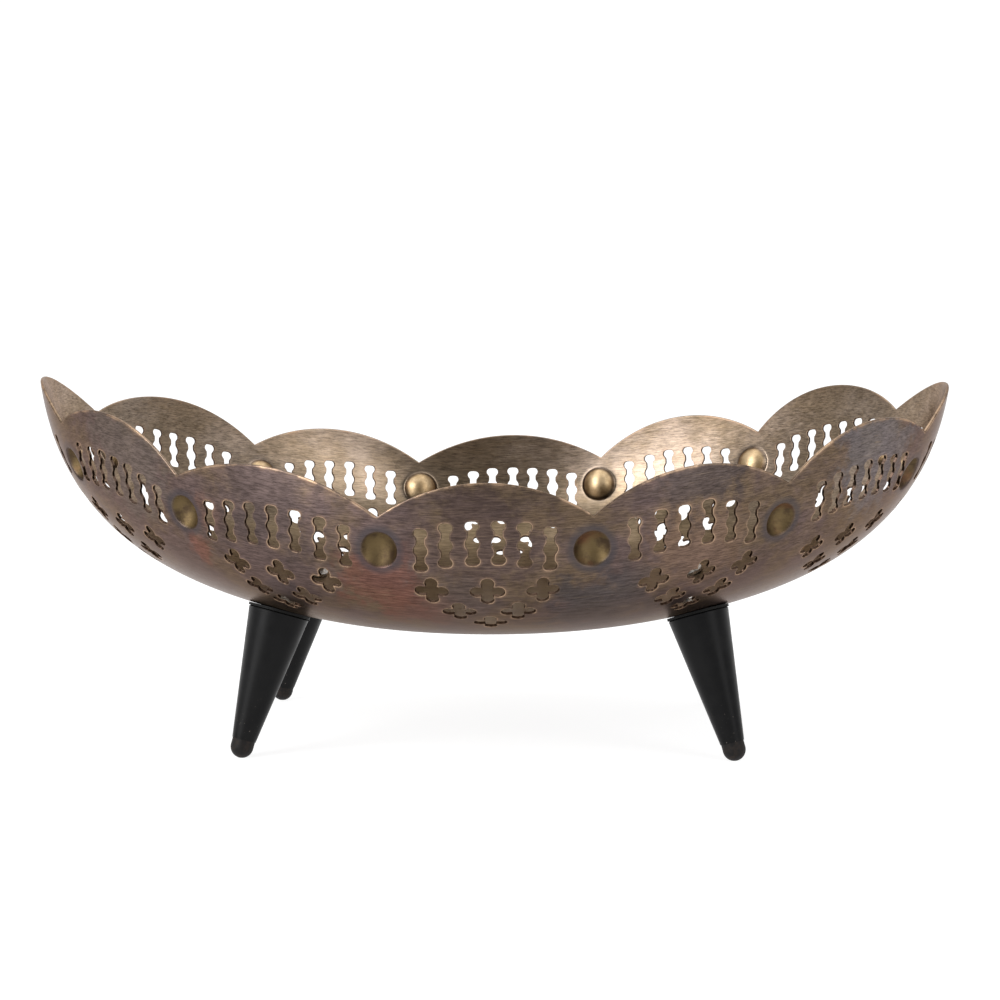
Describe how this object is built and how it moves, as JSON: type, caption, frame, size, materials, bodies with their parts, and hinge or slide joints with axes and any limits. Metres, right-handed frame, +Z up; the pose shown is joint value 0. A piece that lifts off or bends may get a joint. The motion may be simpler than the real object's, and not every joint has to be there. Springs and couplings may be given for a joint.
{
  "type": "footed bowl",
  "caption": "Oval pierced sheet-brass bowl with a scalloped, saddle-shaped rim on tapered black legs.",
  "frame": {"origin": "on the surface that the legs stand on, under the middle of the part's box", "axes": "+X along the long direction of the bowl, +Y to its back, +Z up"},
  "size_m": [0.2973, 0.22, 0.1171],
  "materials": {
    "patinated_brass": "brushed, darkened by patina",
    "black_leg": "satin black coating",
    "black_pad": "matt",
    "black_tip": "satin",
    "steel_fixing": "dull"
  },
  "bodies": {
    "root": {"bowl_shell": "patinated_brass", "leg_front_left": "black_leg", "pad_front_left": "black_pad", "tip_front_left": "black_tip", "washer_front_left": "steel_fixing", "screw_front_left": "steel_fixing", "leg_back_left": "black_leg", "pad_back_left": "black_pad", "tip_back_left": "black_tip", "washer_back_left": "steel_fixing", "screw_back_left": "steel_fixing", "leg_front_right": "black_leg", "pad_front_right": "black_pad", "tip_front_right": "black_tip", "washer_front_right": "steel_fixing", "screw_front_right": "steel_fixing", "leg_back_right": "black_leg", "pad_back_right": "black_pad", "tip_back_right": "black_tip", "washer_back_right": "steel_fixing", "screw_back_right": "steel_fixing"}
  },
  "joints": []
}
